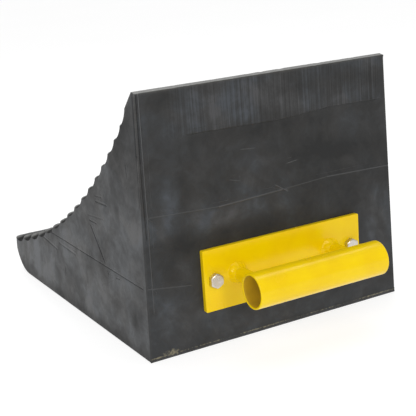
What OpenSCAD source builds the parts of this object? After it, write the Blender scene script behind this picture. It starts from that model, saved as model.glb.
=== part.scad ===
// Rubber wheel chock with a steel carrying handle.
//
// A solid moulded rubber wedge stands on the ground. The tyre rolls against its hollow
// face, which is grooved across the width to grip. A steel bracket is bolted to the
// upright back face: a flat plate, two round posts and an open length of tube to hold.
//
// X runs from the handle (-X) to the nose (+X), Y is the width and +Z is up. The origin
// is the middle of the wedge's footprint, on the ground. Left is +Y, as seen by someone
// who stands behind the chock and holds its handle.

/* [Rubber block] */
// Length along the ground, from the back face to the nose
block_length = 362; // [320:1:440]
// Width across the ground
block_width = 290; // [236:1:360]
// Height of the back face
block_height = 252; // [205:1:310]
// How far each side leans in over the height of the back face
side_draft = 7.2; // [0:0.1:14]
// Depth of the narrow land on top
top_land = 6.2; // [3:0.1:14]
// How much higher the land's front edge stands than its back edge
top_rise = 1.4; // [0:0.1:4]
// Height of the nose's upper corner
nose_height = 40; // [32:0.5:56]
// Height at which the upright part of the nose begins
nose_lift = 24; // [12:0.5:30]
// Radius that joins the nose to the underside
nose_radius = 40; // [30:1:60]

/* [Tyre face] */
// Radius of the hollow that the tyre sits in
tyre_radius = 630; // [500:5:900]
// Distance of the highest crest from the back face
crown_inset = 22; // [16:0.5:34]
// Depth of the highest crest below the top of the back face
crown_drop = 15; // [12:0.5:30]
// Number of grooves across the face
groove_count = 16; // [12:1:20]
// Width of the lowest groove over the width of the highest
groove_growth = 1.33; // [1:0.01:1.6]
// Radius of every groove
groove_radius = 22; // [18:0.5:36]

/* [Grip tube] */
// Outer diameter of the tube
grip_diameter = 33.7; // [26:0.1:42]
// Wall of the tube
grip_wall = 2; // [1.2:0.1:4]
// Length of the tube
grip_length = 144; // [118:1:180]
// Height of the tube's axis above the ground
grip_height = 68.6; // [56:0.2:120]
// Clear gap for the fingers, from the plate to the tube
finger_gap = 36.8; // [30:0.2:50]
// How far the handle sits from the middle of the block, towards the left
handle_shift = -5.5; // [-20:0.5:20]

/* [Handle plate] */
// How far the plate reaches past each end of the tube
plate_overhang = 18.5; // [16.5:0.5:26]
// Height of the plate
plate_height = 61; // [48:1:80]
// Thickness of the plate
plate_thickness = 5; // [3:0.5:8]
// Height of the plate's middle line above the ground
plate_level = 66.8; // [54:0.2:120]

/* [Posts and welds] */
// Diameter of each post
post_diameter = 14; // [10:0.5:20]
// Distance of each post's axis from the nearer end of the tube
post_inset = 17.6; // [16:0.2:30]
// Leg of every weld bead
weld_leg = 4; // [2:0.2:5]

/* [Bolts and inserts] */
// Thread diameter of the bolts
bolt_diameter = 8; // [6:0.5:10]
// Size of the bolt head across its flats
bolt_flats = 13; // [10:0.5:16]
// Height of the bolt head
bolt_head_height = 5.3; // [4:0.1:7]
// Length of thread inside the insert
bolt_reach = 20; // [14:1:26]
// Distance of each bolt from the end of the plate
bolt_edge = 11.5; // [8:0.5:16]
// Height of the bolts above the ground
bolt_level = 66.8; // [54:0.2:120]
// Outer diameter of the threaded inserts
insert_diameter = 14; // [11:0.5:20]
// Length of the inserts
insert_length = 32; // [28:1:50]
// Diameter of the collar that anchors an insert in the rubber
collar_diameter = 20; // [16:0.5:28]
// Thickness of the collar
collar_thickness = 4; // [2:0.5:8]

/* [Fits] */
// Radial room around a bolt in the plate's hole
bolt_hole_clearance = 0.5; // [0.1:0.1:1]
// Radial room around a bolt in its insert
thread_clearance = 0.05; // [0.02:0.01:0.2]
// Room between the end of a bolt and the bottom of its hole
bolt_end_room = 1.5; // [0.5:0.1:3]

/* [Hidden] */
$fn = 96;

LEFT = 1;
RIGHT = -1;
beyond = 1; // how far a cutting tool reaches past the surface that it cuts

rubber_colour = "#3c3c3e";
paint_colour = "#e9c21d";
zinc_colour = "#bdb9b3";

// Back to front
back_x = -block_length / 2;
nose_x = block_length / 2;
plate_face_x = back_x - plate_thickness;
grip_radius = grip_diameter / 2;
grip_x = plate_face_x - finger_gap - grip_radius;

// Side to side
plate_width = grip_length + 2 * plate_overhang;
bolt_offset = plate_width / 2 - bolt_edge;
post_offset = grip_length / 2 - post_inset;

// The nose's round is tangent to the ground and meets the upright part at nose_lift
nose_round_x = nose_x - sqrt(nose_radius ^ 2 - (nose_radius - nose_lift) ^ 2);

// The tyre face: an arc of tyre_radius from the crown crest down to the nose
crown = [back_x + crown_inset, block_height - crown_drop];
toe = [nose_x, nose_height];
face_chord = norm(toe - crown);
face_normal = [crown.y - toe.y, toe.x - crown.x] / face_chord;
tyre_centre = (crown + toe) / 2 + face_normal * sqrt(tyre_radius ^ 2 - (face_chord / 2) ^ 2);
crown_angle = atan2(crown.y - tyre_centre.y, crown.x - tyre_centre.x);
toe_angle = atan2(toe.y - tyre_centre.y, toe.x - tyre_centre.x);

// Groove widths grow steadily from the crown to the toe; this sums the first n of them
function width_sum(n) = n + (groove_growth - 1) * n * (n - 1) / (2 * (groove_count - 1));
function crest_angle(n) =
    crown_angle + (toe_angle - crown_angle) * width_sum(n) / width_sum(groove_count);
function crest(n) =
    tyre_centre + tyre_radius * [cos(crest_angle(n)), sin(crest_angle(n))];

// Middle of the circle that cuts groove n, between crests n and n + 1
function groove_centre(n) =
    let (
        a = crest(n),
        b = crest(n + 1),
        width = norm(b - a),
        outward = [a.y - b.y, b.x - a.x] / width
    )
    (a + b) / 2 + outward * sqrt(groove_radius ^ 2 - (width / 2) ^ 2);

// Side view of the block, with X across and Z up
module block_profile() {
    difference() {
        polygon(concat(
            [[back_x, 0], [nose_x, 0]],
            [for (n = [groove_count:-1:0]) crest(n)],
            [[back_x + top_land, block_height + top_rise], [back_x, block_height]]
        ));
        for (n = [0:groove_count - 1])
            translate(groove_centre(n)) circle(r = groove_radius);
        difference() {
            translate([nose_round_x, -beyond])
                square([nose_x - nose_round_x + beyond, nose_lift + beyond]);
            translate([nose_round_x, nose_radius]) circle(r = nose_radius);
        }
    }
}

// Back view of the block, with Y across and Z up: the sides lean in
module block_taper() {
    lean = side_draft / block_height;
    tall = block_height + top_rise + beyond;
    half = block_width / 2;
    polygon([[-half, 0], [half, 0], [half - lean * tall, tall], [lean * tall - half, tall]]);
}

// Puts a shape drawn around Z at a place on the back face, so that its Z points out of it
module on_back_face(side, offset, level, x) {
    translate([x, handle_shift + side * offset, level]) rotate([0, -90, 0]) children();
}

// Outside of a threaded insert, from its mouth inwards
module insert_shell() {
    translate([0, 0, -insert_length]) cylinder(d = insert_diameter, h = insert_length);
    translate([0, 0, -insert_length]) cylinder(d = collar_diameter, h = collar_thickness);
}

module rubber_block() {
    color(rubber_colour)
    difference() {
        intersection() {
            rotate([90, 0, 0])
                linear_extrude(height = block_width, center = true) block_profile();
            rotate([90, 0, 90])
                linear_extrude(height = block_length, center = true) block_taper();
        }
        for (side = [LEFT, RIGHT])
            on_back_face(side, bolt_offset, bolt_level, back_x) insert_shell();
    }
}

module insert(side) {
    color(zinc_colour)
    on_back_face(side, bolt_offset, bolt_level, back_x)
    difference() {
        insert_shell();
        translate([0, 0, -bolt_reach - bolt_end_room])
            cylinder(
                r = bolt_diameter / 2 + thread_clearance,
                h = bolt_reach + bolt_end_room + beyond
            );
    }
}

module handle_plate() {
    color(paint_colour)
    difference() {
        translate([plate_face_x, handle_shift - plate_width / 2, plate_level - plate_height / 2])
            cube([plate_thickness, plate_width, plate_height]);
        for (side = [LEFT, RIGHT])
            on_back_face(side, bolt_offset, bolt_level, back_x + beyond)
                cylinder(
                    r = bolt_diameter / 2 + bolt_hole_clearance,
                    h = plate_thickness + 2 * beyond
                );
    }
}

// A cylinder along the grip's axis
module along_grip(radius, length) {
    translate([grip_x, handle_shift, grip_height]) rotate([90, 0, 0])
        cylinder(r = radius, h = length, center = true);
}

module grip_tube() {
    color(paint_colour)
    difference() {
        along_grip(grip_radius, grip_length);
        along_grip(grip_radius - grip_wall, grip_length + 2 * beyond);
    }
}

// A post stands on the plate, and its far end is hollowed to sit on the tube
module post(side) {
    color(paint_colour)
    difference() {
        on_back_face(side, post_offset, grip_height, plate_face_x)
            cylinder(d = post_diameter, h = finger_gap + grip_radius);
        along_grip(grip_radius, grip_length);
    }
}

// A rounded bead of weld around a post: it stands on z = 0 and climbs the post
module bead() {
    rotate_extrude()
        translate([post_diameter / 2, 0])
            intersection() {
                circle(r = weld_leg);
                square(weld_leg);
            }
}

module plate_weld(side) {
    color(paint_colour)
    on_back_face(side, post_offset, grip_height, plate_face_x) bead();
}

// The bead at the tube has a skirt that fills in where the round tube falls away
module grip_weld(side) {
    color(paint_colour)
    difference() {
        on_back_face(side, post_offset, grip_height, plate_face_x)
            translate([0, 0, finger_gap]) {
                mirror([0, 0, 1]) bead();
                difference() {
                    cylinder(r = post_diameter / 2 + weld_leg, h = grip_radius);
                    translate([0, 0, -beyond])
                        cylinder(d = post_diameter, h = grip_radius + 2 * beyond);
                }
            }
        along_grip(grip_radius, grip_length);
    }
}

// Hexagon-head bolt: corners up and down, outer corners chamfered
module bolt(side) {
    corner_radius = bolt_flats / sqrt(3);
    chamfer = (corner_radius - bolt_flats / 2) * 0.9;
    shank = plate_thickness + bolt_reach;
    color(zinc_colour)
    on_back_face(side, bolt_offset, bolt_level, plate_face_x) {
        intersection() {
            cylinder(r = corner_radius, h = bolt_head_height, $fn = 6);
            union() {
                cylinder(r = corner_radius, h = bolt_head_height - chamfer);
                translate([0, 0, bolt_head_height - chamfer])
                    cylinder(r1 = corner_radius, r2 = corner_radius - 2 * chamfer, h = chamfer);
            }
        }
        translate([0, 0, -shank]) cylinder(d = bolt_diameter, h = shank);
    }
}

module insert_left() insert(LEFT);
module insert_right() insert(RIGHT);
module post_left() post(LEFT);
module post_right() post(RIGHT);
module plate_weld_left() plate_weld(LEFT);
module plate_weld_right() plate_weld(RIGHT);
module grip_weld_left() grip_weld(LEFT);
module grip_weld_right() grip_weld(RIGHT);
module bolt_left() bolt(LEFT);
module bolt_right() bolt(RIGHT);

rubber_block();
insert_left();
insert_right();
handle_plate();
post_left();
post_right();
grip_tube();
plate_weld_left();
plate_weld_right();
grip_weld_left();
grip_weld_right();
bolt_left();
bolt_right();
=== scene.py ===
# %% [markdown]
# # A truck wheel chock, in code
# A wheel chock is a wedge of solid rubber that stops a parked truck from rolling. The tyre sits against
# a long curved face with ribs moulded across it, and a driver carries the block by a steel grip that is
# bolted to the tall back. This lesson builds it round a finished CAD frame. The frame gives every size
# and place, and nothing in it moves, so each piece here is made where the frame says.
#
# One look at the frame comes first: the size and place of each of its nodes. The finished pieces may
# not outgrow it.

import math

import bmesh
import bpy
import numpy as np
from mathutils import Matrix, Vector, geometry, kdtree, noise


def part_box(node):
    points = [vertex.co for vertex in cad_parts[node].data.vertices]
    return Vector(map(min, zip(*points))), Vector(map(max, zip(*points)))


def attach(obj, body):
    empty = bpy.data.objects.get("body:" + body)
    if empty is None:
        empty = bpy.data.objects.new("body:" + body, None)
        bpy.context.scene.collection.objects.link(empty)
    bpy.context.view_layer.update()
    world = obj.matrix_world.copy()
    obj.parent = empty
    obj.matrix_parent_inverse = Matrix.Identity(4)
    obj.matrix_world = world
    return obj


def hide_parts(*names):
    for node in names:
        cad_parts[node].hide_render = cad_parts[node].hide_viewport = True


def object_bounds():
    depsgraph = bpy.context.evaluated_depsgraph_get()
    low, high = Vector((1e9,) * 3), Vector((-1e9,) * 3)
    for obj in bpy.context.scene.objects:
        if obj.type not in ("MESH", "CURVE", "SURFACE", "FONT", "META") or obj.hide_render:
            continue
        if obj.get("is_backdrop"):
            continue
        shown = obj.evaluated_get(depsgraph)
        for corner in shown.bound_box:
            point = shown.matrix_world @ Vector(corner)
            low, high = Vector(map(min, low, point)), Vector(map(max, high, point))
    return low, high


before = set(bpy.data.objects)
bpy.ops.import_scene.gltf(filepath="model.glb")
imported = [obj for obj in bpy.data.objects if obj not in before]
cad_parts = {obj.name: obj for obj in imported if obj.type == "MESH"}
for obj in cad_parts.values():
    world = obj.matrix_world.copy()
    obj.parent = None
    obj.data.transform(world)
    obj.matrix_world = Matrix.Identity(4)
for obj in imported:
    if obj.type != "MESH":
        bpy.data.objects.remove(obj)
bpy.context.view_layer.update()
MM = 0.001


def node_box(node):
    """Lowest and highest corner of a frame node, in millimetres."""
    low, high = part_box(node)
    return np.array(low) / MM, np.array(high) / MM


for node in sorted(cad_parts):
    node_low, node_high = node_box(node)
    print(f"{node:18} size {np.round(node_high - node_low, 1)} mm, from {np.round(node_low, 1)}")

# %% [markdown]
# ## Tools of the bench
# Everything is thought out in millimetres and turned to metres in one place, when a mesh is made. A mesh
# could come from a ready-made primitive, but a list of points and faces says exactly what a piece is,
# so each piece is built that way and then bound to the frame. Smooth shading with a sharp-edge angle
# keeps flat sheet metal flat and turned metal round.

# %% Make a piece from points and faces
PIECES = []


def make_piece(name, points, faces, material, slot, replaces=(), sharp=None):
    """A mesh object from points in mm, which rides on the frame and stands for some of its nodes."""
    mesh = bpy.data.meshes.new(name)
    mesh.from_pydata(np.asarray(points, float) * MM, [], faces)
    work = bmesh.new()
    work.from_mesh(mesh)
    bmesh.ops.recalc_face_normals(work, faces=work.faces)
    work.to_mesh(mesh)
    work.free()
    mesh.materials.append(material)
    mesh.shade_smooth()
    if sharp is not None:
        mesh.set_sharp_from_angle(angle=math.radians(sharp))
    piece = bpy.data.objects.new(name, mesh)
    bpy.context.scene.collection.objects.link(piece)
    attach(piece, "root")
    if replaces:
        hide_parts(*replaces)
    PIECES.append(piece)
    print(f"{name}: {len(mesh.vertices)} points, {len(mesh.polygons)} faces")
    return piece


def ring_faces(rings, count, closed=True, first=0):
    """Faces between neighbouring rings of count points each. closed joins the last ring to the first."""
    faces = []
    for i in range(rings if closed else rings - 1):
        here = first + i * count
        there = first + (i + 1) % rings * count
        for j in range(count):
            k = (j + 1) % count
            faces.append((here + j, there + j, there + k, here + k))
    return faces


def smoothstep(low, high, value):
    """0 below low, 1 above high, and a smooth turn between."""
    t = np.clip((np.asarray(value, float) - low) / (high - low), 0, 1)
    return t * t * (3 - 2 * t)


def bell(value, width):
    """1 at nought, falling away within about two widths."""
    return np.exp(-(np.asarray(value, float) / width) ** 2)


def noise_at(points, size, seed=0.0):
    """Soft noise from -1 to 1 at points in mm, with blobs about size mm across."""
    shift = Vector((seed * 17.3, seed * 5.1, seed * 9.7))
    return np.array([noise.noise(Vector(p) / size + shift) for p in np.asarray(points, float)])


# %% [markdown]
# ## Finishes
# A finish is a small graph of nodes. One helper adds a node with its settings and its links, so that a
# finish reads as a list of what is on the surface. Colours are written the way a paint chip is read, in
# sRGB hex, and one function turns them to the linear numbers that the shader wants. Sizes of patterns
# are real: a noise texture with scale 1000 / 2 has blobs about 2 mm across, because the piece's own
# coordinates are in metres.

# %% Helpers for finishes
def colour(hex_text):
    """Linear RGBA from an sRGB hex colour such as "E8BC1C"."""
    parts = [int(hex_text[i:i + 2], 16) / 255 for i in (0, 2, 4)]
    return [p / 12.92 if p <= 0.04045 else ((p + 0.055) / 1.055) ** 2.4 for p in parts] + [1.0]


def add(tree, kind, settings=None, links=None):
    """Adds a shader node. Settings are its properties or socket values; links feed sockets by name."""
    node = tree.nodes.new("ShaderNode" + kind)
    for key, value in (settings or {}).items():
        if isinstance(key, str) and hasattr(node, key):
            setattr(node, key, value)
        else:
            node.inputs[key].default_value = value
    for key, socket in (links or {}).items():
        tree.links.new(socket, node.inputs[key])
    return node


def per_mm(size):
    """The scale that gives a pattern this many millimetres across."""
    return 1.0 / (size * MM)


def new_finish(name):
    """An empty material with its output, and the piece's own coordinates in metres."""
    material = bpy.data.materials.new(name)
    material.use_nodes = True
    tree = material.node_tree
    tree.nodes.clear()
    place = add(tree, "TexCoord").outputs["Object"]
    return material, tree, place


def close_finish(tree, shader):
    """Joins the shader to the material's output."""
    add(tree, "OutputMaterial", {}, {"Surface": shader.outputs[0]})


# %% [markdown]
# ### Moulded rubber
# The block is carbon-black rubber, laid up in slabs and pressed in a steel mould. Fresh from the mould it
# is almost black, but wax and talc bloom on it, so it reads as a soft charcoal with cloudy lighter, bluer
# and browner patches. Faces that look up are painted paler, partly as dust and partly as a painted
# highlight for the light they catch, and the ends of the ribs at the sides get a painted highlight too.
# The grooves are painted near black and dull as painted shade. Rubber has an IOR of about 1.52 and a
# middling roughness, which makes the faces that are seen at a slant look lighter, and the left face is
# painted a little paler still, as painted light. Bloomed rubber is paler and smoother to the light, and
# bare rubber is blacker and duller, so one level drives colour and roughness together.
# That level is a sum: clouds 50 mm across, smudges 12 mm across, fine upright drag streaks about 2.5 mm
# apart, specks, and a tone that is painted on the mesh. The grain of the mould is finer than a picture
# shows, so it is drawn 0.8 mm across, as coarse as it needs to be.
#
# Thin lines such as knife marks would need a very fine mesh if they were painted point by point. So the
# mesh carries the distance to the nearest mark in millimetres, which stays exact between points, and the
# finish draws a thin line where that distance is nearly nought. Along a cut the line is dark, as painted
# shade in the crease over bare rubber. Along a raised lip it is pale, as a painted highlight.

# %% Finish: moulded rubber
def painted(tree, name):
    """A mask or a distance that is painted on the mesh."""
    return add(tree, "Attribute", {"attribute_name": name}).outputs["Fac"]


def line_where(tree, distance, centre, reach):
    """1 where a distance is at centre, fading to 0 within reach, all in mm."""
    shifted = add(tree, "Math", {"operation": "SUBTRACT", 1: centre}, {0: distance})
    away = add(tree, "Math", {"operation": "ABSOLUTE"}, {0: shifted.outputs[0]})
    return add(tree, "MapRange", {"interpolation_type": "SMOOTHSTEP", 1: 0.0, 2: reach, 3: 1.0, 4: 0.0},
               {0: away.outputs[0]}).outputs[0]


def times(tree, a, b):
    """The product of two sockets."""
    return add(tree, "Math", {"operation": "MULTIPLY"}, {0: a, 1: b}).outputs[0]


def mixed(tree, base, hex_text, share):
    """A colour laid over another by a share from 0 to 1."""
    return add(tree, "MixRGB", {"Color2": colour(hex_text)}, {"Fac": share, "Color1": base}).outputs[0]


def moulded_rubber():
    material, tree, place = new_finish("moulded_rubber")
    clouds = add(tree, "TexNoise", {"Scale": per_mm(50), "Detail": 6.0, "Roughness": 0.62,
                                    "Distortion": 0.4}, {"Vector": place}).outputs["Fac"]
    smudges = add(tree, "TexNoise", {"Scale": per_mm(12), "Detail": 4.0, "Distortion": 0.8},
                  {"Vector": place}).outputs["Fac"]
    grain = add(tree, "TexNoise", {"Scale": per_mm(0.8), "Detail": 2.0}, {"Vector": place}).outputs["Fac"]
    specks = add(tree, "TexNoise", {"Scale": per_mm(2.4), "Detail": 3.0, "Roughness": 0.7},
                 {"Vector": place}).outputs["Fac"]
    upright = add(tree, "Mapping", {"Scale": (per_mm(3), per_mm(2.0), per_mm(260))}, {"Vector": place})
    streaks = add(tree, "TexNoise", {"Scale": 1.0, "Detail": 3.5, "Roughness": 0.75},
                  {"Vector": upright.outputs[0]}).outputs["Fac"]
    drag = add(tree, "Math", {"operation": "SUBTRACT", 1: 0.5}, {0: streaks}).outputs[0]
    dragged = times(tree, painted(tree, "streaked"), drag)

    level = clouds
    for source, gain in ((smudges, 0.35), (painted(tree, "tone"), 0.30), (dragged, 1.0), (specks, 0.10)):
        level = add(tree, "Math", {"operation": "MULTIPLY_ADD", 1: gain}, {0: source, 2: level}).outputs[0]
    body = add(tree, "ValToRGB", {}, {"Fac": level})
    ramp = body.color_ramp
    ramp.elements[0].position, ramp.elements[0].color = 0.40, colour("08090A")
    ramp.elements[1].position, ramp.elements[1].color = 1.02, colour("35373C")
    for position, hex_text in ((0.60, "121212"), (0.75, "1B1C1E"), (0.87, "26282B")):
        ramp.elements.new(position).color = colour(hex_text)

    tinge = add(tree, "TexNoise", {"Scale": per_mm(38), "Detail": 3.0, "Distortion": 1.0},
                {"Vector": place}).outputs["Fac"]
    hue = add(tree, "ValToRGB", {}, {"Fac": tinge})
    hue.color_ramp.elements[0].position, hue.color_ramp.elements[0].color = 0.40, (1.0, 0.93, 0.84, 1)
    hue.color_ramp.elements[1].position, hue.color_ramp.elements[1].color = 0.60, (0.86, 0.95, 1.0, 1)
    body = add(tree, "MixRGB", {"blend_type": "MULTIPLY", "Fac": 1.0},
               {"Color1": body.outputs[0], "Color2": hue.outputs[0]})
    mark = line_where(tree, painted(tree, "mark_line"), 0.0, 0.95)
    cut = times(tree, mark, painted(tree, "mark_cut"))
    lip = times(tree, mark, painted(tree, "mark_lip"))
    # A cut is drawn near black, as painted shade in its crease over bare rubber, and a raised lip is drawn
    # pale, as a painted highlight.
    bare = mixed(tree, body.outputs[0], "020202", cut)
    # The grooves are painted near black here, as painted shade.
    groove_shaded = mixed(tree, bare, "030303", painted(tree, "groove_shade"))
    pale = mixed(tree, groove_shaded, "4C4D4E", lip)
    rubbed = mixed(tree, pale, "4A4843", times(tree, painted(tree, "worn"), smudges))
    packed = add(tree, "Math", {"operation": "ADD"}, {0: specks, 1: painted(tree, "gritty")}).outputs[0]
    grit = add(tree, "MapRange", {1: 1.28, 2: 1.56, 3: 0.0, 4: 0.6}, {0: packed}).outputs[0]
    soiled = mixed(tree, rubbed, "8C8468", grit)
    # Faces that look up are drawn paler: partly dust, partly a painted highlight on the top land, the rib
    # crests and the rib ends.
    patchy_share = add(tree, "Math", {"operation": "MULTIPLY_ADD", 1: 0.8, 2: 0.5}, {0: smudges}).outputs[0]
    skin_colour = mixed(tree, soiled, "787876", times(tree, painted(tree, "dust_and_highlight"), patchy_share))

    dull = add(tree, "MapRange", {1: 0.40, 2: 0.92, 3: 0.74, 4: 0.44}, {0: level}).outputs[0]
    for mask, gain in (("worn", -0.2), ("groove_shade", 0.4)):
        dull = add(tree, "Math", {"operation": "MULTIPLY_ADD", 1: gain},
                   {0: painted(tree, mask), 2: dull}).outputs[0]
    groove_height = add(tree, "Math", {"operation": "SUBTRACT"}, {0: lip, 1: cut}).outputs[0]
    normal = add(tree, "Bump", {"Distance": 0.6 * MM, "Strength": 0.8}, {"Height": groove_height}).outputs[0]
    for height, depth, strength in ((dragged, 0.4, 0.5), (smudges, 0.5, 0.3), (grain, 0.05, 0.5)):
        normal = add(tree, "Bump", {"Distance": depth * MM, "Strength": strength},
                     {"Height": height, "Normal": normal}).outputs[0]
    shader = add(tree, "BsdfPrincipled", {"IOR": 1.52, "Metallic": 0.0},
                 {"Base Color": skin_colour, "Roughness": dull, "Normal": normal})
    close_finish(tree, shader)
    return material


# %% [markdown]
# ### Powder coat on steel
# The grip, its plate and the weld beads are sprayed with dry yellow powder and baked. The skin is a
# thick, glossy plastic with an IOR near 1.5. It sets with a faint orange peel, waves about 3 mm across,
# and it thins a little over sharp edges. Down inside the tube the spray hardly reaches, so the coat
# there turns dull and thin over grey steel, and a second finish covers that.

# %% Finish: powder coat
def powder_coat(name, main, deep, rough):
    material, tree, place = new_finish(name)
    patches = add(tree, "TexNoise", {"Scale": per_mm(28), "Detail": 3.0}, {"Vector": place})
    peel = add(tree, "TexNoise", {"Scale": per_mm(3.0), "Detail": 1.5}, {"Vector": place})
    dust = add(tree, "TexNoise", {"Scale": per_mm(1.1), "Detail": 3.0, "Roughness": 0.7}, {"Vector": place})
    tint = add(tree, "MapRange", {1: 0.38, 2: 0.66}, {0: patches.outputs["Fac"]})
    body = add(tree, "MixRGB", {"Color1": colour(main), "Color2": colour(deep)}, {"Fac": tint.outputs[0]})
    nib = add(tree, "MapRange", {1: 0.70, 2: 0.78, 3: 0.0, 4: 0.5}, {0: dust.outputs["Fac"]})
    coat = mixed(tree, body.outputs[0], "9C7A10", nib.outputs[0])
    gloss = add(tree, "MapRange", {1: 0.3, 2: 0.7, 3: rough - 0.05, 4: rough + 0.07},
                {0: patches.outputs["Fac"]})
    bump = add(tree, "Bump", {"Distance": 0.12 * MM, "Strength": 0.35}, {"Height": peel.outputs["Fac"]})
    shader = add(tree, "BsdfPrincipled", {"IOR": 1.5, "Metallic": 0.0, "Specular IOR Level": 0.25},
                 {"Base Color": coat, "Roughness": gloss.outputs[0], "Normal": bump.outputs[0]})
    close_finish(tree, shader)
    return material


# %% [markdown]
# ### Zinc-plated steel, and turned steel
# The bolt heads are cold-forged and zinc plated: a bright grey metal with a faint warm bloom from the
# passivation bath and fine forging marks. The threaded inserts in the rubber are plain turned bars, with
# the tool's rings round them every half millimetre. Metals keep the default IOR, and their colour is
# their reflection.

# %% Finishes: the two bare metals
def bare_metal(name, main, bloom, rough, ring):
    material, tree, place = new_finish(name)
    stains = add(tree, "TexNoise", {"Scale": per_mm(3.5), "Detail": 3.0}, {"Vector": place})
    rings = add(tree, "TexWave", {"wave_type": "RINGS", "rings_direction": "X", "Scale": per_mm(ring) / 6.3,
                                  "Distortion": 1.2, "Detail": 2.0}, {"Vector": place})
    tint = add(tree, "MixRGB", {"Color1": colour(main), "Color2": colour(bloom)},
               {"Fac": stains.outputs["Fac"]})
    gloss = add(tree, "MapRange", {1: 0.3, 2: 0.7, 3: rough - 0.08, 4: rough + 0.1},
                {0: stains.outputs["Fac"]})
    bump = add(tree, "Bump", {"Distance": 0.04 * MM, "Strength": 0.3}, {"Height": rings.outputs["Fac"]})
    shader = add(tree, "BsdfPrincipled", {"Metallic": 1.0},
                 {"Base Color": tint.outputs[0], "Roughness": gloss.outputs[0], "Normal": bump.outputs[0]})
    close_finish(tree, shader)
    return material


rubber = moulded_rubber()
yellow = powder_coat("yellow_powder_coat", "E8C600", "E2BC00", 0.22)
overspray = powder_coat("thin_powder_overspray", "DAB226", "B4942C", 0.55)
zinc = bare_metal("zinc_plated_steel", "D2CEC8", "C6BEB0", 0.30, 0.9)
steel = bare_metal("turned_steel", "A9A8A6", "97928A", 0.38, 0.5)
print("finishes:", ", ".join(m.name for m in bpy.data.materials if m.users == 0))

# %% [markdown]
# ## The rubber block
# The side outline tells the whole story: flat on the ground, a rounded nose, sixteen scooped grooves that
# follow the tyre's radius and leave a sharp rib between each two, a narrow land on top and an upright
# back. It could be an extruded curve, but the block is narrower at the top, as it has to leave its mould,
# and every edge is soft. So the outline is drawn as a chain of lines and arcs, its corners are eased by
# a short running average, and it is then laid out across the width as a loft.

# %% The outline, in the XZ plane
block_low, block_high = node_box("rubber_block")
back_x, nose_x = block_low[0], block_high[0]
width = block_high[1] - block_low[1]
top_rise = 1.4
height = block_high[2] - top_rise
draft = 7.2
top_land = 6.2
nose_height = 40.0
nose_lift = 24.0
nose_radius = 40.0
tyre_radius = 630.0
groove_count = 16
groove_growth = 1.33
groove_radius = 22.0
crown_inset = 22.0
crown_drop = 15.0
crown = np.array([back_x + crown_inset, height - crown_drop])
toe = np.array([nose_x, nose_height])
STEP = 0.25


def tyre_middle():
    """Centre of the tyre that just touches the crown and the toe."""
    half = (toe - crown) / 2
    reach = math.sqrt(tyre_radius ** 2 - half @ half)
    across = np.array([-half[1], half[0]]) / np.linalg.norm(half)
    return (crown + toe) / 2 + reach * across


def crest(n):
    """Rib n on the tyre's circle, 0 at the crown. The grooves grow steadily wider towards the toe."""
    def grown(k):
        return k + (groove_growth - 1) * k * (k - 1) / (2 * (groove_count - 1))
    first = math.atan2(*(crown - tyre_centre)[::-1])
    last = math.atan2(*(toe - tyre_centre)[::-1])
    angle = first + (last - first) * grown(n) / grown(groove_count)
    return tyre_centre + tyre_radius * np.array([math.cos(angle), math.sin(angle)])


def line(start, end):
    """Points from start up to, but not at, end."""
    start, end = np.array(start, float), np.array(end, float)
    count = max(2, int(np.linalg.norm(end - start) / STEP))
    return start + (end - start) * np.linspace(0, 1, count, endpoint=False)[:, None]


def arc(centre, radius, start, end):
    """Points on the short arc from point start up to, but not at, point end."""
    first = math.atan2(start[1] - centre[1], start[0] - centre[0])
    turn = math.atan2(end[1] - centre[1], end[0] - centre[0]) - first
    turn = (turn + math.pi) % (2 * math.pi) - math.pi
    count = max(2, int(abs(turn) * radius / STEP))
    angles = first + turn * np.linspace(0, 1, count, endpoint=False)
    return np.array(centre) + radius * np.stack([np.cos(angles), np.sin(angles)], 1)


def groove(start, end):
    """The scoop between two ribs, cut by a round bar that stands off outside the face."""
    chord = end - start
    span = np.linalg.norm(chord)
    outward = np.array([-chord[1], chord[0]]) / span
    if outward @ (tyre_centre - start) < 0:
        outward = -outward
    centre = (start + end) / 2 + outward * math.sqrt(groove_radius ** 2 - (span / 2) ** 2)
    return arc(centre, groove_radius, start, end)


tyre_centre = tyre_middle()
ribs = [crest(n) for n in range(groove_count + 1)]
nose_start = (nose_x - math.sqrt(nose_radius ** 2 - (nose_radius - nose_lift) ** 2), 0.0)
top_front = (back_x + top_land, height + top_rise)
corners = [(back_x, 0.0), tuple(toe), tuple(crown), top_front, (back_x, height)]
chain = [line((back_x, 0), nose_start),
         arc((nose_start[0], nose_radius), nose_radius, nose_start, (nose_x, nose_lift)),
         line((nose_x, nose_lift), toe)]
chain += [groove(ribs[n], ribs[n - 1]) for n in range(groove_count, 0, -1)]
chain += [line(crown, top_front), line(top_front, (back_x, height)), line((back_x, height), (back_x, 0))]
outline = np.vstack(chain)
first_groove, last_groove = math.dist(ribs[0], ribs[1]), math.dist(ribs[-1], ribs[-2])
print(f"outline: {len(outline)} points, tyre centre {np.round(tyre_centre, 1)}, "
      f"first groove {first_groove:.1f} mm, last {last_groove:.1f} mm")

# %% [markdown]
# Two things happen to the raw outline. A running average along its length rounds every corner and rib to
# about a millimetre, as rubber never fills a sharp mould corner. Then the stations are spread: close
# together round a rib or corner, wide apart on a flat, so that the mesh spends its points where the
# shape turns.

# %% Ease the corners and choose the stations
EASE = 0.45
RIB_STEP = 0.4
STEP_GROWTH = 0.34


def along(points):
    """Distance from the first point to each point of a closed line, and the whole length."""
    steps = np.linalg.norm(np.roll(points, -1, 0) - points, axis=1)
    return np.concatenate([[0], np.cumsum(steps)[:-1]]), steps.sum()


def resample(points, places):
    """Points at the given distances along a closed line."""
    at, length = along(points)
    at = np.append(at, length)
    loop = np.vstack([points, points[:1]])
    return np.stack([np.interp(places, at, loop[:, k]) for k in (0, 1)], 1)


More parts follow.
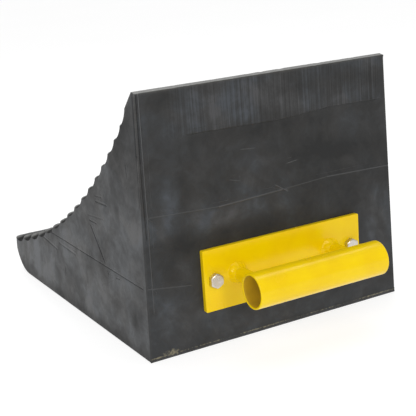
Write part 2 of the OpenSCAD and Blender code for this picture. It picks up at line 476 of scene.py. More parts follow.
def ease(points, sigma):
    """Rounds the corners of a closed line of evenly spaced points with a bell-shaped average."""
    reach = int(4 * sigma / STEP)
    weights = bell(np.arange(-reach, reach + 1) * STEP, sigma * math.sqrt(2))
    weights /= weights.sum()
    return sum(w * np.roll(points, -k, 0) for w, k in zip(weights, range(-reach, reach + 1)))


def turn_distance(x, z):
    """Distance from each place on the side view to the nearest rib or corner."""
    return np.array([tree_of_turns.find((a, 0, b))[2] for a, b in zip(x, z)])


even = resample(outline, np.arange(0, along(outline)[1], STEP))
eased = ease(even, EASE)
places, length = along(eased)
tree_of_turns = kdtree.KDTree(len(ribs) + len(corners))
for index, point in enumerate([tuple(p) for p in ribs] + corners):
    tree_of_turns.insert((point[0], 0, point[1]), index)
tree_of_turns.balance()
to_turn = turn_distance(*eased.T)
on_ground = (eased[:, 1] < 0.5) & (eased[:, 0] < nose_start[0])
on_back = eased[:, 0] < back_x + 0.5
widest = np.where(on_ground, 26.0, np.where(on_back, 2.8, 3.2))
spacing = np.minimum(RIB_STEP + STEP_GROWTH * to_turn, widest)
count = np.cumsum(STEP / spacing)
stations = np.interp(np.arange(0, int(count[-1])) * count[-1] / int(count[-1]), count - count[0], places)
profile = resample(eased, stations)
tangent = resample(eased, stations + 0.3) - resample(eased, (stations - 0.3) % length)
tangent /= np.linalg.norm(tangent, axis=1)[:, None]
outward = np.stack([tangent[:, 1], -tangent[:, 0]], 1)
print(f"{len(profile)} stations round the outline of {length:.0f} mm")

# %% [markdown]
# The loft runs the outline across the width. At each end it turns over a quarter round, and the flat side
# closes it. The edge is about 1 mm round up the rear corners, and tighter at each rib, as a round wider
# than the rib itself would fold over. At the tread, feet and tyres have rounded the ribs' ends off much
# further, about 3 mm deep and 6 mm in from the side, so the whole face sinks there, straight away from
# the tyre. The flat sides could be one big face each, but then they could hold no dents. A Delaunay net
# fills them with small triangles instead.

# %% Loft the block
ROUND = [0, 10, 20, 30, 40, 50, 60, 70, 80, 90]
RUN_STEP = 3.1
RIB_END_DEPTH = 3.0
RIB_END_REACH = 6.5
NET_GRID = 3.6


def half_width(z):
    """From the middle to the drafted side, at a height."""
    return width / 2 - draft * z / height


def edge_radius(x, z, side):
    """How far the quarter round reaches in from the side, for each outline station."""
    radius = np.full(len(x), 0.8)
    grown = smoothstep(10, height, z)
    radius += bell(x - back_x, 3.0) * (0.2 + 0.7 * grown)
    radius += 0.5 * smoothstep(4, 0, z)
    for a, b in corners:
        least, share = (0.2, 0.35) if (a, b) == tuple(toe) else (0.4, 0.85)
        radius = np.minimum(radius, np.maximum(least, share * np.hypot(x - a, z - b)))
    return np.minimum(radius, 0.4 + 0.4 * turn_distance(x, z))


def end_drop(x, z):
    """How the ribs' ends are rounded off at each side: depth into the rubber and reach across, in mm."""
    on_tyre = np.stack([x, z], 1) - tyre_centre
    from_circle = np.linalg.norm(on_tyre, axis=1) - tyre_radius
    down_face = smoothstep(crown[0] - 2, crown[0] + 14, x) * smoothstep(nose_height - 9, nose_height - 2, z)
    share = down_face * smoothstep(-12, -2, -from_circle)
    away = on_tyre / np.linalg.norm(on_tyre, axis=1)[:, None]
    near_toe = smoothstep(90, 180, x)
    return share * (RIB_END_DEPTH - 0.8 * near_toe), share * (RIB_END_REACH - 1.5 * near_toe), away


def across_places():
    """Shares of the width from 0 to 1, with closer columns near both ends."""
    half = [0.0]
    step = 0.5
    while half[-1] < width / 2:
        half.append(half[-1] + step)
        step = min(step * 1.4, RUN_STEP)
    half = np.array(half) / half[-1] / 2
    return np.concatenate([half, 1 - half[-2::-1]])


def loft_columns():
    """The columns of the loft, from the right side to the left, each a closed ring of points."""
    x, z = profile.T
    reach = {side: edge_radius(x, z, side) for side in (-1, 1)}
    deep, wide, away = end_drop(x, z)
    columns = []

    def turned(side, degrees):
        angle = math.radians(degrees)
        inset = reach[side] * (1 - math.cos(angle))
        sunk = deep * (1 - math.cos(angle))
        px = x - inset * outward[:, 0] + sunk * away[:, 0]
        pz = z - inset * outward[:, 1] + sunk * away[:, 1]
        y = half_width(pz) - (reach[side] + wide) * (1 - math.sin(angle))
        return np.stack([px, side * y, pz], 1)

    right, left = turned(-1, 0), turned(1, 0)
    for degrees in ROUND[:0:-1]:
        columns.append(turned(-1, degrees))
    for share in across_places():
        columns.append(right + (left - right) * share)
    for degrees in ROUND[1:]:
        columns.append(turned(1, degrees))
    return columns


def net(column, first, grid):
    """Fills a flat side with triangles: its rim is one end column, and the inside is a loose grid."""
    rim = column[:, [0, 2]]
    side = math.copysign(1, column[0, 1])
    xs = np.arange(back_x + grid / 2, nose_x, grid)
    zs = np.arange(grid / 2, height, grid)
    inside = np.array([(a, b) for a in xs for b in zs])
    near = kdtree.KDTree(len(rim))
    for index, (a, b) in enumerate(rim):
        near.insert((a, b, 0), index)
    near.balance()
    clear = np.array([near.find((a, b, 0))[2] > grid * 0.45 for a, b in inside])
    inside = inside[clear]
    inside = inside + np.random.default_rng(7).uniform(-0.2, 0.2, inside.shape) * grid
    flat = [Vector(p) for p in np.vstack([rim, inside])]
    found = geometry.delaunay_2d_cdt(flat, [], [list(range(len(rim)))], 1, 1e-6)
    corners_of, from_input = found[2], found[3]
    points, faces, number = [], [], {}
    for face in corners_of:
        names = []
        for corner in face:
            source = from_input[corner][0]
            if source < len(rim):
                names.append(first + source)
                continue
            if source not in number:
                number[source] = len(points)
                a, b = flat[source]
                points.append((a, side * half_width(b), b))
            names.append(-1 - number[source])
        faces.append(names)
    return points, faces


def loft_block():
    """All points and faces of the block, before any dent or scratch."""
    columns = loft_columns()
    count = len(profile)
    points = [tuple(p) for column in columns for p in column]
    faces = ring_faces(len(columns), count, closed=False)
    for column, first in ((columns[0], 0), (columns[-1], (len(columns) - 1) * count)):
        more, rows = net(column, first, NET_GRID)
        base = len(points)
        points += more
        faces += [tuple(n if n >= 0 else base - 1 - n for n in row) for row in rows]
    return np.array(points), faces


block_points, block_faces = loft_block()
print(f"block before wear: {len(block_points)} points, {len(block_faces)} faces")

# %% [markdown]
# A real block carries the marks of its making and of its work. It was laid up from slabs about 69 mm
# thick, and where two slabs knit together in the press a fine line runs round at their height. Knife cuts,
# scuffs and short scratches came later. Flash was trimmed off the rear left corner by hand, which left
# a groove and a small lip down both sides of it. Each mark is a line on one face, with a depth and a width.
# A thin line needs a finer mesh than the flat round it, so the faces that it crosses are split first. The
# skin is then pushed in or out along its own normal by the sum of the marks, a slow waviness of a tenth
# or two of a millimetre, the lip at the foot of the back, and nicks in the ribs. Broad clouds of bloom
# and wiped patches are painted as soft ovals in the same way, and so are a few dark ovals of painted
# shade: along the foot of the left face, and just above the plate on the back.

# %% Marks on the block
KNIT = (72.0, 138.0, 208.0)
# Each mark: face, start and end as (across, up), depth and width, all in mm. A negative depth is a lip.
MARKS = [
    ("left", (64, KNIT[0] + 1), (-60, KNIT[0]), 0.40, 0.9),
    ("left", (-60, KNIT[0]), (-176, KNIT[0] - 1), 0.40, 0.9),
    ("left", (-60, 107), (-76, 90), 0.45, 1.0),
    ("left", (-76, 90), (-90, 75), 0.50, 1.0),
    ("left", (-78, KNIT[1] + 3), (-92, KNIT[1] + 4), 0.25, 1.2),
    ("left", (-78, KNIT[1] - 3), (-103, KNIT[1] - 2), 0.40, 1.2),
    ("left", (-58, 117), (-92, 120), 0.18, 1.2),
    ("left", (-59, 112), (-75, 112), 0.40, 1.2),
    ("left", (85, 62), (42, 57), 0.30, 2.0),
    ("left", (32, 66), (-12, 64), 0.25, 2.0),
    ("left", (20, 40), (21, 33), 0.30, 1.0),
    ("left", (-96, 68), (-97, 65), 0.30, 1.0),
    ("left", (-116, 66), (-123, 67), 0.40, 1.0),
    ("left", (-79, 49), (-114, 64), 0.15, 1.6),
    ("left", (-154, 185), (-155, 174), 0.30, 1.0),
    ("back", (88, 208), (-9, 206), 0.30, 0.8),
    ("back", (-9, 206), (-69, 210), 0.30, 0.8),
    ("back", (-69, 210), (-129, 209), 0.30, 0.8),
    ("back", (136, KNIT[1] + 1), (61, KNIT[1] - 3), -0.15, 1.0),
    ("back", (61, KNIT[1] - 3), (-10, KNIT[1]), -0.32, 1.2),
    ("back", (-10, KNIT[1]), (-63, KNIT[1] + 3), -0.16, 1.0),
    ("back", (-63, KNIT[1] + 3), (-139, KNIT[1] + 1), -0.26, 1.1),
    ("back", (-4, KNIT[1] + 5), (-15, KNIT[1] - 2), -0.30, 1.0),
    ("back", (140, KNIT[0]), (98, KNIT[0] - 6), -0.18, 1.0),
    ("back", (-19, 163), (-27, 164), -0.30, 0.9),
    ("back", (32, 185), (20, 184), -0.20, 0.9),
    ("back", (46, 158), (39, 156), -0.20, 0.9),
    ("back", (133.9, 251), (134.7, 190), -0.55, 1.0),
    ("back", (134.7, 190), (135.4, 135), -0.34, 1.0),
    ("back", (135.4, 135), (137, 50), -0.20, 1.0),
    ("back", (135.9, 251), (137.3, 190), 0.42, 0.9),
    ("back", (137.3, 190), (137.6, 120), 0.34, 1.1),
    ("left", (-178.6, 252), (-178.8, 196), 0.42, 2.6),
    ("left", (-178.8, 196), (-179.4, 150), 0.22, 2.0),
    ("right", (60, KNIT[0]), (-120, KNIT[0] + 1), 0.35, 0.9),
    ("right", (-120, 150), (-70, 104), 0.35, 1.0),
    ("right", (-150, KNIT[1]), (-96, KNIT[1] + 2), 0.30, 1.0),
    ("right", (92, 40), (60, 34), 0.30, 1.6),
]
# Each cloud: face, middle and half size as (across, up) in mm, and how pale (above 0) or dark it is.
CLOUDS = [
    ("back", (112, 148), (8, 22), 1.1),
    ("back", (96, 160), (7, 16), -0.9),
    # A dark patch of painted shade above the left end of the plate.
    ("back", (101, 107), (16, 15), -1.2),
    ("back", (114, 243), (14, 10), -0.8),
    ("back", (108, 222), (22, 20), 0.5),
    ("back", (30, 222), (70, 14), 0.35),
    ("back", (-121, 90), (16, 26), 0.5),
    ("back", (-75, 168), (50, 9), -0.7),
    ("back", (-91, 122), (16, 6), -0.6),
    ("back", (-90, 235), (60, 14), -0.5),
    ("back", (70, 124), (45, 9), 0.5),
    # A dark band of painted shade just above the plate, along its length.
    ("back", (25, 108), (75, 9), -0.7),
    ("back", (104, 84), (8, 9), 0.7),
    ("back", (-70, 145), (75, 45), -0.5),
    ("back", (10, 170), (60, 20), -0.3),
    ("back", (125, 50), (14, 22), 0.5),
    ("left", (-150, 225), (45, 45), -0.7),
    # A dark band of painted shade along the foot of the left face, where it meets the floor.
    ("left", (-60, 1), (260, 8), -0.9),
    ("left", (135, 28), (40, 22), 0.25),
    ("left", (-137, 97), (14, 24), 0.35),
    ("left", (-46, 45), (30, 14), 0.3),
    ("left", (-118, 40), (12, 8), -0.7),
    ("left", (-154, 33), (5, 9), -0.8),
    ("left", (-100, 106), (8, 12), -0.3),
    ("right", (-130, 190), (50, 50), -0.8),
    ("right", (-20, 60), (60, 22), 0.7),
    ("right", (90, 25), (50, 18), -0.7),
]
FOLD = ((-129, 209), (-69, 210), (-9, 206), (88, 208))
LIP_HEIGHT = 5.0
CUTS_AT_MARKS = 3


def on_face(points, normals, face):
    """Which points lie on a face, and their (across, up) places there."""
    if face == "back":
        return normals[:, 0] < -0.9, points[:, [1, 2]]
    side = 1 if face == "left" else -1
    return normals[:, 1] * side > 0.9, points[:, [0, 2]]


def to_segment(flat, start, end):
    """Distance from points to a straight mark."""
    start, end = np.array(start, float), np.array(end, float)
    run = end - start
    share = np.clip((flat - start) @ run / (run @ run), 0, 1)
    return np.linalg.norm(flat - start - share[:, None] * run, axis=1)


def fold_distance(flat):
    """Height above the fold on the upper back, and how strongly the fold shows there."""
    y, z = flat.T
    across, up = zip(*FOLD)
    shown = smoothstep(across[0] - 8, across[0] + 8, y) * smoothstep(across[-1] + 6, across[-1] - 4, y)
    return z - np.interp(y, across, up), shown


def split_near_marks(work, cuts):
    """Splits the faces that a mark, the fold or the lip crosses."""
    work.normal_update()
    centres = np.array([f.calc_center_median() for f in work.faces]) / MM
    normals = np.array([f.normal for f in work.faces])
    crossed = np.zeros(len(centres), bool)
    for face, start, end, depth, mark_width in MARKS:
        here, flat = on_face(centres, normals, face)
        crossed |= here & (to_segment(flat, start, end) < mark_width + 1.6)
    here, flat = on_face(centres, normals, "back")
    above, shown = fold_distance(flat)
    crossed |= here & (shown > 0.05) & (np.abs(above) < 2.6)
    crossed |= here & (np.abs(flat[:, 1] - LIP_HEIGHT) < 2.0)
    work.faces.ensure_lookup_table()
    edges = {e for i in np.flatnonzero(crossed) for e in work.faces[i].edges}
    bmesh.ops.subdivide_edges(work, edges=list(edges), cuts=cuts, use_grid_fill=True)
    print(f"split {int(crossed.sum())} faces, now {len(work.faces)}")


def skin_height(points, normals):
    """How far the skin stands out from the plain loft, in mm."""
    flat_part = smoothstep(0.80, 0.97, np.abs(normals).max(1))
    out = 0.20 * noise_at(points, 70, 1) * flat_part
    out += 0.07 * noise_at(points, 16, 2) * flat_part
    for face, start, end, depth, mark_width in MARKS:
        here, flat = on_face(points, normals, face)
        out -= here * depth * bell(to_segment(flat, start, end), mark_width * 0.55)
    here, flat = on_face(points, normals, "back")
    above, shown = fold_distance(flat)
    out += here * shown * (0.28 * smoothstep(-0.6, 0.5, above) * smoothstep(30, 8, above))
    out += here * shown * 0.16 * bell(above - 0.9, 0.8)
    out += here * 0.35 * smoothstep(LIP_HEIGHT + 0.8, LIP_HEIGHT - 0.6, flat[:, 1])
    to_rib = turn_distance(points[:, 0], points[:, 2])
    nicks = np.clip(noise_at(points, 7, 3) - 0.25, 0, 1) + 0.6 * np.clip(noise_at(points, 2.6, 4) - 0.3, 0, 1)
    out -= 1.2 * nicks * bell(to_rib, 1.4) * (points[:, 2] > 30)
    return out


def nearest_mark(points, normals):
    """Signed distance to the nearest mark, and how much it is a cut or a lip there."""
    nearest, signed = np.full(len(points), 6.0), np.full(len(points), 6.0)
    cut, lip = np.zeros(len(points)), np.zeros(len(points))
    for face, start, end, depth, mark_width in MARKS:
        here, flat = on_face(points, normals, face)
        distance = np.where(here, to_segment(flat, start, end), 6.0)
        run = (np.array(end, float) - start) / math.dist(start, end)
        offset = (flat - start) @ np.array([-run[1], run[0]])
        past = np.sqrt(np.maximum(distance ** 2 - offset ** 2, 0))
        closer = distance < nearest
        strength = smoothstep(3.0, 0.0, past) * smoothstep(5.0, 3.5, distance)
        nearest = np.where(closer, distance, nearest)
        signed = np.where(closer, offset / mark_width, signed)
        cut = np.where(closer, strength * max(depth, 0) * 1.7, cut)
        lip = np.where(closer, strength * max(-depth, 0) * 2.0, lip)
    return signed, np.clip(cut, 0, 1), np.clip(lip, 0, 1)


def bloom(points, normals):
    """The painted tone of the clouds: above 0 where bloom lies, below 0 where the rubber is bare or where
    shade is painted.
    """
    wander = np.stack([noise_at(points, 22, 11), noise_at(points, 22, 12)], 1) * 4
    tone = np.zeros(len(points))
    for face, middle, half, amount in CLOUDS:
        here, flat = on_face(points, normals, face)
        away = (flat + wander - np.array(middle, float)) / np.array(half, float)
        tone += here * amount * np.exp(-(away ** 2).sum(1))
    return tone


def paint_masks(mesh, points, normals):
    """What the finish needs to know of each point: tone with its painted light and shade, streaks, marks,
    rubbed edges, grit, dust with painted highlight, and painted shade in the grooves.
    """
    here, flat = on_face(points, normals, "back")
    above, shown = fold_distance(flat)
    streaked = here * smoothstep(-0.5, 0.8, above) * smoothstep(-146, -122, flat[:, 0])
    streaked *= smoothstep(FOLD[-1][0] + 30, FOLD[-1][0] - 2, flat[:, 0])
    to_rib = turn_distance(points[:, 0], points[:, 2])
    from_side = half_width(points[:, 2]) - np.abs(points[:, 1])
    near_outline = kdtree.KDTree(len(profile))
    for index, (x, z) in enumerate(profile):
        near_outline.insert((x, 0, z), index)
    near_outline.balance()
    from_outline = np.array([near_outline.find((p[0], 0, p[2]))[2] for p in points])
    edge = bell(np.hypot(from_side, from_outline), 1.6) * (0.25 + 0.75 * smoothstep(150, 225, points[:, 2]))
    worn = np.maximum(bell(to_rib, 1.3), edge)
    on_tread = (points[:, 0] > crown[0]) & (points[:, 2] > nose_lift) & (np.abs(normals[:, 1]) < 0.85)
    # The top land and the rib crests on the tread are painted pale as dust and painted highlight. The rib
    # ends near the sides are painted pale as a painted highlight.
    dust_and_highlight = smoothstep(0.80, 0.97, normals[:, 2]) * (points[:, 2] > height - 4)
    dust_and_highlight = np.maximum(dust_and_highlight, 0.8 * on_tread * bell(to_rib, 2.4) * smoothstep(0.3, 0.8, normals[:, 2]))
    rib_end_highlight = on_tread * smoothstep(9, 5, from_side) * bell(to_rib - 1.5, 3.2)
    dust_and_highlight = np.maximum(dust_and_highlight, rib_end_highlight)
    # Deep in the grooves the rubber is painted near black and duller, as painted shade.
    scooped = on_tread * smoothstep(3.0, 7.0, to_rib)
    along_foot, foot = points[:, 1], points[:, 2]
    seam = bell(foot - (LIP_HEIGHT - 1.4), 1.7) * (0.86 + 0.3 * noise_at(points, 26, 21))
    seam *= 1 + 0.18 * smoothstep(-80, -125, along_foot)
    patch = 0.98 * bell(np.hypot((along_foot - 122) / 20, (foot - 5) / 7), 1.0)
    gritty = np.maximum(seam, patch) * (points[:, 0] < back_x + 2)
    signed, cut, lip = nearest_mark(points, normals)
    # The left face is painted paler as painted light, and the grooves darker as painted shade.
    left_face_light = smoothstep(0.8, 0.95, normals[:, 1])
    tone = bloom(points, normals) + 0.28 * left_face_light - 2.0 * scooped
    tone = tone + 0.35 * here * shown * smoothstep(-1, 1, above)
    # Just under the fold a band is painted darker, as the shade under its step.
    tone -= 0.4 * here * shown * bell(above + 5, 7)
    painted_values = {"tone": tone, "dust_and_highlight": dust_and_highlight, "streaked": streaked, "worn": worn * 0.8,
                      "groove_shade": scooped * 0.95, "gritty": gritty,
                      "mark_line": signed, "mark_cut": cut, "mark_lip": lip}
    for name, values in painted_values.items():
        layer = mesh.attributes.new(name, "FLOAT", "POINT")
        layer.data.foreach_set("value", values.astype(np.float32))
        print(f"mask {name}: covers {float((values > 0.5).mean()):.1%} of the points")


def mesh_arrays(mesh):
    """Points in mm and normals of a mesh, as arrays."""
    points = np.zeros(len(mesh.vertices) * 3)
    normals = np.zeros(len(mesh.vertices) * 3)
    mesh.vertices.foreach_get("co", points)
    mesh.vertices.foreach_get("normal", normals)
    return points.reshape(-1, 3) / MM, normals.reshape(-1, 3)


block = make_piece("moulded_block", block_points, block_faces, rubber, "rubber", ["rubber_block"])
work = bmesh.new()
work.from_mesh(block.data)
split_near_marks(work, CUTS_AT_MARKS)
work.to_mesh(block.data)
work.free()
block.data.shade_smooth()
skin, skin_normals = mesh_arrays(block.data)
paint_masks(block.data, skin, skin_normals)
skin = skin + skin_normals * skin_height(skin, skin_normals)[:, None]
block.data.vertices.foreach_set("co", (skin * MM).ravel())
block.data.update()
print(f"block: {sum(len(p.vertices) - 2 for p in block.data.polygons)} triangles")

# %% [markdown]
# ## The handle plate
# The plate is a strip of 5 mm steel cut on a shear. Its edges are left slightly rounded by the guillotine
# and by the paint that flows over them, and a bolt passes through each end. A cube with a bevel would
# pass from far away. Here the face is an outline with round corners and two drilled holes, thickened,
# with a bevel modifier that puts the soft painted edge on every rim, the holes included.

# %% The plate
plate_low, plate_high = node_box("handle_plate")
bolt_boxes = {side: node_box(f"bolt_{side}") for side in ("left", "right")}
bolt_centres = {side: (low + high) / 2 for side, (low, high) in bolt_boxes.items()}
CORNER = 1.2
PAINT_EDGE = 1.0
HOLE_RADIUS = 4.5


def disc(centre, radius, count):
    """A ring of (y, z) points."""
    angles = np.linspace(0, 2 * math.pi, count, endpoint=False)
    return [(centre[0] + radius * math.cos(a), centre[1] + radius * math.sin(a)) for a in angles]


def soft_rectangle(low, high, radius, count):
    """A rectangle of (y, z) points with round corners."""
    points = []
    for corner, (sy, sz) in enumerate(((1, 1), (-1, 1), (-1, -1), (1, -1))):
        y = (high[0] if sy > 0 else low[0]) - sy * radius
        z = (high[1] if sz > 0 else low[1]) - sz * radius
        for k in range(count + 1):
            angle = math.radians(90 * corner + 90 * k / count)
            points.append((y + radius * math.cos(angle), z + radius * math.sin(angle)))
    return points


def plate_mesh():
    """The plate as two triangulated faces with holes, joined by walls."""
    rims = [soft_rectangle(plate_low[1:], plate_high[1:], CORNER, 4)]
    rims += [disc(bolt_centres[side][1:], HOLE_RADIUS, 32) for side in ("left", "right")]
    flat = [Vector(p) for rim in rims for p in rim]
    loops, start = [], 0
    for rim in rims:
        loops.append(list(range(start, start + len(rim))))
        start += len(rim)
    found = geometry.delaunay_2d_cdt(flat, [], loops, 1, 1e-6)
    count = len(flat)
    order = [source[0] for source in found[3]]
    front = [tuple(order[c] for c in face) for face in found[2]]
    holes = [set(loop) for loop in loops[1:]]
    front = [face for face in front if not any(set(face) <= hole for hole in holes)]
    points = [(plate_low[0], p[0], p[1]) for p in flat] + [(plate_high[0], p[0], p[1]) for p in flat]
    faces = front + [tuple(count + c for c in reversed(face)) for face in front]
    for loop in loops:
        for k, here in enumerate(loop):
            there = loop[(k + 1) % len(loop)]
            faces.append((here, there, there + count, here + count))
    return points, faces


plate = make_piece("mounting_plate", *plate_mesh(), yellow, "yellow_paint", ["handle_plate"])
soft_edge = plate.modifiers.new("painted_edge", "BEVEL")
soft_edge.width = PAINT_EDGE * MM
soft_edge.segments = 4
soft_edge.limit_method = "ANGLE"
soft_edge.angle_limit = math.radians(40)

# %% [markdown]
# ## The grip tube
# The grip is a cut length of pipe. Its ends are sawn square and deburred, so the rim is a flat ring with
# tiny rounds on both sides. That section is turned round the tube's own axis, the way a lathe would
# make it. The inside gets the thin overspray, the outside the full coat.

# %% The tube
tube_low, tube_high = node_box("grip_tube")
tube_middle = (tube_low + tube_high) / 2
tube_radius = (tube_high[2] - tube_low[2]) / 2
tube_wall = 2.0
RIM_ROUND = 0.7
TUBE_SIDES = 112


def rim_section(end, sign):
    """(radius, y) points over one sawn rim, from the outside to the bore."""
    inner = tube_radius - tube_wall
    points = []
    for base, turn in ((tube_radius - RIM_ROUND, 0), (inner + RIM_ROUND, 90)):
        for k in range(6):
            angle = math.radians(turn + 18 * k)
            y = end - sign * RIM_ROUND * (1 - math.sin(angle))
            points.append((base + RIM_ROUND * math.cos(angle), y))
    return points


def tube_mesh():
    """A closed ring of sections round the tube's axis, and how many points lie in the bore."""
    right, left = tube_low[1], tube_high[1]
    run = np.linspace(0, 1, 40)[1:-1]
    outside = [(tube_radius, right + (left - right) * share) for share in run]
    bore = [(tube_radius - tube_wall, left - (left - right) * share) for share in run]
    section = outside + rim_section(left, 1) + bore + rim_section(right, -1)[::-1]
    points = []
    for radius, y in section:
        for k in range(TUBE_SIDES):
            angle = 2 * math.pi * k / TUBE_SIDES
            points.append((tube_middle[0] + radius * math.cos(angle), y,
                           tube_middle[2] + radius * math.sin(angle)))
    return points, ring_faces(len(section), TUBE_SIDES)


grip = make_piece("grip_tube_painted", *tube_mesh(), yellow, "yellow_paint", ["grip_tube"])
grip.data.materials.append(overspray)
bore_limit = (tube_radius - tube_wall + 0.2) * MM
for polygon in grip.data.polygons:
    centre = polygon.center
    from_axis = math.hypot(centre.x - tube_middle[0] * MM, centre.z - tube_middle[2] * MM)
    inside = from_axis < bore_limit and tube_low[1] + 2 < centre.y / MM < tube_high[1] - 2
    polygon.material_index = 1 if inside else 0

# %% [markdown]
# ## Posts and weld beads
# Two short bars join the tube to the plate. A hand weld runs round each bar at both ends, and it never
# lies even: the puddle freezes in ripples, swells at the start and thins where the torch moved on. A
# smooth fillet would look like plastic. So each bead is a ring whose section is a bulging fillet, and its
# size wanders with a row of ripples and a slow noise as it goes round. At the plate the bead lies on a
# flat, and at the tube it rides the curve of the pipe.

# %% The weld beads
BEAD_LEG = 4.0
BEAD_TURNS = 120
BEAD_SECTION = 18
RIPPLES = 13


def bead_size(angle, seed):
    """How big the bead is at an angle round its bar, about 1."""
    spot = Vector((math.cos(angle) * 1.4, math.sin(angle) * 1.4, seed))
    fine = Vector((math.cos(angle) * 4.2, math.sin(angle) * 4.2, seed + 5))
    wander = 0.20 * noise.noise(spot) + 0.14 * noise.noise(fine)
    ripple = 0.5 + 0.5 * math.cos(RIPPLES * angle + 1.5 * noise.noise(spot * 1.7))
    return 0.95 + wander + 0.06 * ripple


def bead_mesh(centre, bar_radius, surface, toward, climb, seed):
    """A weld bead round a bar along X. surface(y, z) is where it lies, and toward is its way up the bar."""
    points = []
    for k in range(BEAD_TURNS):
        angle = 2 * math.pi * k / BEAD_TURNS
        size = bead_size(angle, seed)
        for s in range(BEAD_SECTION):
            share = min(s / (BEAD_SECTION - 2), 1.0)
            lump = Vector((math.cos(angle) * 2.6, math.sin(angle) * 2.6, share * 1.6 + seed))
            swell = math.sin(math.pi * share) * (0.1 + 0.95 * size * (0.5 + noise.noise(lump)))
            out = size * BEAD_LEG * (1 - share) ** 1.25 + swell
            rise = size * climb * share ** 1.9 + swell - 0.12
            if s > BEAD_SECTION - 2:
                out, rise = -1.0, -0.5
            radius = bar_radius + out
            y = centre[1] + radius * math.cos(angle)
            z = centre[2] + radius * math.sin(angle)
            points.append((surface(y, z) + toward * rise, y, z))
    return points, ring_faces(BEAD_TURNS, BEAD_SECTION)


def plate_surface(y, z):
    """The plate's front face."""
    return plate_low[0]


def tube_surface(y, z):
    """The side of the tube that faces the plate."""
    rise = min(abs(z - tube_middle[2]), tube_radius)
    return tube_middle[0] + math.sqrt(tube_radius ** 2 - rise ** 2)


# Each bead: its name, what it lies on, its way up the bar, how far it climbs in mm, and its own seed.
BEADS = (("plate", plate_surface, -1, 8.0, 3.1), ("grip", tube_surface, 1, 4.5, 8.4))
for number, side in enumerate(("left", "right")):
    post_low, post_high = node_box(f"post_{side}")
    post_centre = (post_low + post_high) / 2
    post_radius = (post_high[1] - post_low[1]) / 2
    for place, surface, toward, climb, seed in BEADS:
        bead = bead_mesh(post_centre, post_radius, surface, toward, climb, seed + number)
        make_piece(f"{place}_bead_{side}", *bead, yellow, "yellow_paint", [f"{place}_weld_{side}"])

# %% [markdown]
# ## The bolts
# Each bolt is an M8 with a forged hexagon head. The head is a hexagon cut by a shallow cone, which leaves
# a round flat on top and a curved chamfer on each corner. It is drawn as rings of points: each ring's
# radius is the smaller of the hexagon and the cone. The shank is a true thread, a sawtooth wound round
# the bar with a pitch of 1.25 mm, though it stays hidden in the rubber.

# %% The bolts
HEAD_HEIGHT = 5.3
FLATS = 13.0
CHAMFER = math.radians(28)
PITCH = 1.25
THREAD_DEPTH = 0.68
HEAD_SIDES = 96
BOLT_RADIUS = 4.0


def hexagon_radius(angle):
    """From the middle to the hexagon's side, with corners straight up and down."""
    turned = (angle - math.pi / 6) % (math.pi / 3) - math.pi / 6
    return FLATS / 2 / math.cos(turned) - 0.18 * bell(abs(turned) - math.pi / 6, 0.06)


def plain_ring(x, radius):
    """A round ring: the same (x, radius) on every side."""
    return [(x, radius)] * HEAD_SIDES


def thread_ring(x):
    """One ring of the thread, whose crest runs on round the bar as x grows."""
    phases = ((x / PITCH - k / HEAD_SIDES) % 1 for k in range(HEAD_SIDES))
    return [(x, BOLT_RADIUS - THREAD_DEPTH * abs(2 * phase - 1)) for phase in phases]


def bolt_mesh(centre, head_face, end):
    """Rings from the middle of the head's top, out over the chamfer, back under it and along the thread."""
    flat = FLATS / 2 * 0.93
    seat = head_face + HEAD_HEIGHT
    rim = head_face + 0.05
    slope = math.tan(CHAMFER)
    limits = [hexagon_radius(2 * math.pi * k / HEAD_SIDES) for k in range(HEAD_SIDES)]
    rings = [plain_ring(head_face + 0.10, 0.02 * flat), plain_ring(head_face + 0.10, 0.5 * flat),
             plain_ring(head_face + 0.04, flat * 0.90), plain_ring(head_face, flat * 0.97)]
    for share in (0.12, 0.55, 1.0):
        radii = [flat + (limit - flat) * share for limit in limits]
        rings.append([(rim + (radius - flat) * slope, radius) for radius in radii])
    for depth in (0.5, 0.9, 0.97):
        tops = [rim + (limit - flat) * slope for limit in limits]
        rings.append([(top + (seat - 0.2 - top) * depth, limit) for top, limit in zip(tops, limits)])
    rings += [plain_ring(seat - 0.2, FLATS / 2 - 0.1), plain_ring(seat, FLATS / 2 - 0.3),
              plain_ring(seat, BOLT_RADIUS)]
    count = int((end - seat - 1.0) / PITCH * 6)
    rings += [thread_ring(seat + 1.0 + (end - seat - 1.6) * step / count) for step in range(count)]
    rings += [plain_ring(end, BOLT_RADIUS - 0.9), plain_ring(end, 0.05)]
    points = []
    for ring in rings:
        for k, (x, radius) in enumerate(ring):
            angle = 2 * math.pi * k / HEAD_SIDES
            points.append((x, centre[1] + radius * math.cos(angle), centre[2] + radius * math.sin(angle)))
    faces = ring_faces(len(rings), HEAD_SIDES, closed=False)
    faces.append(tuple(range(HEAD_SIDES)))
    faces.append(tuple(range((len(rings) - 1) * HEAD_SIDES, len(rings) * HEAD_SIDES)))
    return points, faces


for side, (low, high) in bolt_boxes.items():
    make_piece(f"hex_bolt_{side}", *bolt_mesh(bolt_centres[side], low[0], high[0]), zinc, "zinc",
               [f"bolt_{side}"], sharp=35)

# %% [markdown]
# ## The frame nodes that stay
# The short posts and the threaded inserts already have their true shape in the frame, so they stay and
# only get a finish: the powder coat on the posts, and turned steel on the inserts.

# %% Finish the frame nodes that stay
kept = {"post_left": yellow, "post_right": yellow, "insert_left": steel, "insert_right": steel}
for node, finish in kept.items():
    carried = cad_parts[node]
    carried.data.materials.clear()
    carried.data.materials.append(finish)
    print("kept", node, "as", finish.name)

# %% [markdown]
# ## Floor, light and camera
# The block stands on a light table: a sheet of white acrylic that glows a little, which is how a studio
# takes the shadow out from under a dark product. A wide softbox hangs overhead and a little beyond the
# block, a small one stands behind and above the camera, square to the plate, another far to the left,
# and a pale world fills the rest. The camera looks from behind and to the left of the block, a little
# above it, through a long lens.

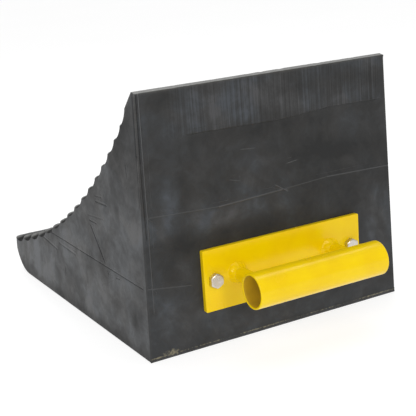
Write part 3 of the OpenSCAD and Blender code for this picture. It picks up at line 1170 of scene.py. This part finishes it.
# %% The floor
def studio_floor():
    material, tree, place = new_finish("white_acrylic")
    haze = add(tree, "TexNoise", {"Scale": per_mm(400), "Detail": 1.0}, {"Vector": place})
    tint = add(tree, "MixRGB", {"Color1": colour("868686"), "Color2": colour("8E8E8E")},
               {"Fac": haze.outputs["Fac"]})
    sheet = add(tree, "BsdfPrincipled", {"Roughness": 0.6, "IOR": 1.49, "Emission Color": colour("FFFFFF"),
                                         "Emission Strength": 0.80}, {"Base Color": tint.outputs[0]})
    close_finish(tree, sheet)
    return material


FLOOR_RADIUS = 9000.0
floor_rings = [FLOOR_RADIUS * share for share in (0.02, 0.1, 0.4, 1.0)]
floor_points = [(r * math.cos(math.radians(7.5 * k)), r * math.sin(math.radians(7.5 * k)), -0.3)
                for r in floor_rings for k in range(48)]
floor_mesh = bpy.data.meshes.new("light_table")
floor_mesh.from_pydata(np.array(floor_points) * MM, [],
                       ring_faces(len(floor_rings), 48, closed=False) + [tuple(range(48))])
floor_mesh.materials.append(studio_floor())
floor = bpy.data.objects.new("light_table", floor_mesh)
bpy.context.scene.collection.objects.link(floor)
floor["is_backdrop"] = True

# %% The lights
scene = bpy.context.scene
world = bpy.data.worlds.new("pale_studio")
world.use_nodes = True
world.node_tree.nodes.clear()
glow = add(world.node_tree, "Background", {"Color": colour("FFFFFF"), "Strength": 0.50})
add(world.node_tree, "OutputWorld", {}, {"Surface": glow.outputs[0]})
scene.world = world
scene.view_settings.view_transform = "Standard"


def softbox(name, place, target, size, power):
    """A square area light at a place in metres, facing a target."""
    light = bpy.data.lights.new(name, "AREA")
    light.shape = "SQUARE"
    light.size = size
    light.energy = power
    lamp = bpy.data.objects.new(name, light)
    lamp.location = place
    lamp.rotation_euler = (Vector(target) - Vector(place)).to_track_quat("-Z", "Y").to_euler()
    scene.collection.objects.link(lamp)
    print(f"{name}: {power} W, {size} m wide, {(Vector(target) - Vector(place)).length:.2f} m away")


softbox("overhead_softbox", (0.3, -0.3, 1.9), (0, 0, 0.1), 1.6, 19)
softbox("key_softbox", (-2.2, 0.1, 1.0), (-0.2, 0, 0.07), 0.42, 15)
softbox("left_softbox", (-1.2, 1.7, 1.4), (-0.2, 0, 0.07), 0.8, 12)

# %% The camera
CAMERA_PLACE = Vector((-983.4, 510.7, 393.3)) * MM
AZIMUTH, ELEVATION, ROLL = (math.radians(a) for a in (241.37, 15.71, -4.24))
back = Vector((math.sin(AZIMUTH) * math.cos(ELEVATION), -math.cos(AZIMUTH) * math.cos(ELEVATION),
               math.sin(ELEVATION)))
right = Vector((0, 0, 1)).cross(back).normalized()
up = back.cross(right)
side_axis = right * math.cos(ROLL) + up * math.sin(ROLL)
up_axis = up * math.cos(ROLL) - right * math.sin(ROLL)
lens = bpy.data.cameras.new("studio_camera")
lens.lens = 88.67
lens.sensor_width = 36.0
lens.clip_start = 0.05
lens.clip_end = 60
camera = bpy.data.objects.new("studio_camera", lens)
turned = Matrix((side_axis, up_axis, back)).transposed().to_4x4()
camera.matrix_world = Matrix.Translation(CAMERA_PLACE) @ turned
scene.collection.objects.link(camera)
scene.camera = camera
print(f"camera {CAMERA_PLACE.length:.2f} m from the origin")

# %% [markdown]
# ## Last look
# The box round all the finished pieces is printed at the end. The finished pieces have
# to fill the same box as the frame.

# %% Print the sizes and finish
low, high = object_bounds()
print("visual box", np.round(np.array(high - low) / MM, 1), "mm, in", len(PIECES), "new pieces")
